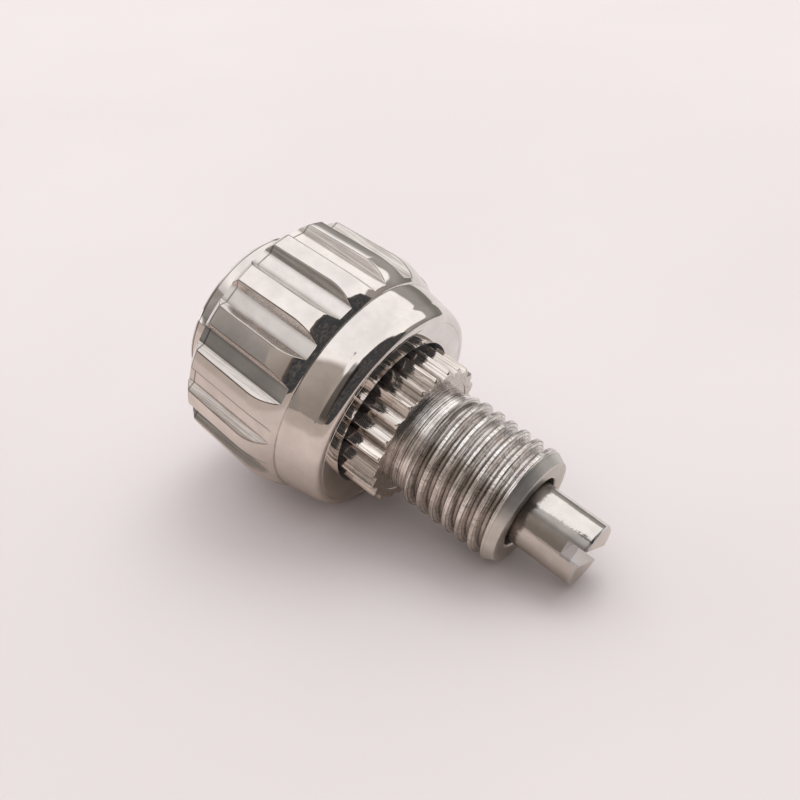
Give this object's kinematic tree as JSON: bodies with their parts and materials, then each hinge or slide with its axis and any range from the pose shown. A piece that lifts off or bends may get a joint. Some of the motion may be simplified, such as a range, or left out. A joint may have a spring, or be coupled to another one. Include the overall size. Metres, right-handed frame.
{
  "type": "chronograph pusher",
  "caption": "Screw-down chronograph pusher with a fluted locking collar, a sprung button, a toothed flange, a case thread and a slotted stem that pushes the movement's lever",
  "frame": {"origin": "the centre of the case seat, where the pusher's axis crosses the inner face of the toothed flange", "axes": "+X along the pusher's axis out of the case, from the stem to the button; +Y and +Z across it, with +Z the side that is up in the picture"},
  "size_m": [0.01, 0.006, 0.006],
  "materials": {
    "polished_steel": "mirror polished stainless steel",
    "satin_steel": "turned stainless steel with fine tool lines",
    "stem_steel": "fine ground stainless steel",
    "spring_steel": "drawn bright spring wire and strip",
    "seal_rubber": "smooth black seal rubber",
    "slip_plastic": "white low-friction plastic"
  },
  "bodies": {
    "case": {"case_tube": "satin_steel", "seal_washer": "satin_steel", "inner_seal": "seal_rubber", "seal_spacer": "slip_plastic", "outer_seal": "seal_rubber", "gland_bush": "polished_steel", "return_spring": "spring_steel"},
    "push": {"stem": "stem_steel", "stop_washer": "slip_plastic", "plunger": "stem_steel", "cap_seal": "seal_rubber", "button_cap": "polished_steel", "slip_ring": "slip_plastic"},
    "collar": {"locking_collar": "polished_steel", "thread_ring": "polished_steel", "wave_washer": "spring_steel"}
  },
  "joints": [
    {"name": "press", "type": "slide", "parent": "case", "child": "push", "axis": [-1, 0, 0], "range_m": [0, 0.0005], "stiffness_N_per_m": 1200, "springref_m": -0.0015, "deforming": ["return_spring"]},
    {"name": "collar_turn", "type": "hinge", "parent": "push", "child": "collar", "pos_m": [0.003, 0, 0], "axis": [1, 0, 0], "continuous": true}
  ]
}
